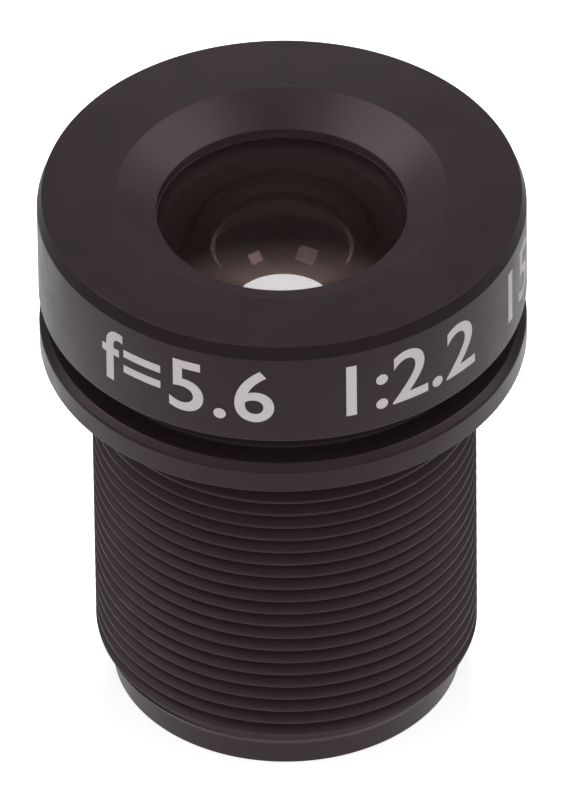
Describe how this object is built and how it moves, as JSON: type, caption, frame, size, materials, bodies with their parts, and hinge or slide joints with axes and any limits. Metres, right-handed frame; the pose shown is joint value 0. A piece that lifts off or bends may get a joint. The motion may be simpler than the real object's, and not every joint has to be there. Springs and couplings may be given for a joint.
{
  "type": "security camera lens",
  "caption": "Fixed board lens with a black turned barrel, male fine thread, flange, screwed front cap with a shallow funnel, and a coated glass stack inside.",
  "frame": {"origin": "centre of the rear end face, on which the lens stands", "axes": "+Z along the optical axis, from the rear end to the front face; the lens is round about it, so +X and +Y are free, and the picture was taken from -Y"},
  "size_m": [0.0152, 0.0152, 0.0186],
  "materials": {
    "black_anodised_aluminium": "satin black anodised",
    "black_anodised_aluminium_cap": "satin black anodised, with light grey marking",
    "black_rubber": "matte",
    "front_glass": "polished, anti-reflection coated",
    "inner_glass": "polished, anti-reflection coated",
    "blackened_aluminium": "matte black",
    "blackened_aluminium_ring": "matte black",
    "blackened_sheet": "matte black, thin sheet",
    "black_film": "matte black polyester film"
  },
  "bodies": {
    "root": {"barrel": "black_anodised_aluminium", "front_cap": "black_anodised_aluminium_cap", "front_seal": "black_rubber", "lens_1": "front_glass", "light_shield_1": "black_film", "lens_2": "inner_glass", "spacer_1": "blackened_aluminium", "lens_3": "inner_glass", "spacer_2": "blackened_aluminium", "aperture_stop": "blackened_sheet", "spacer_3": "blackened_aluminium", "lens_4": "inner_glass", "lens_5": "inner_glass", "spacer_4": "blackened_aluminium", "lens_6": "inner_glass", "light_shield_2": "black_film", "rear_retaining_ring": "blackened_aluminium_ring"}
  },
  "joints": []
}
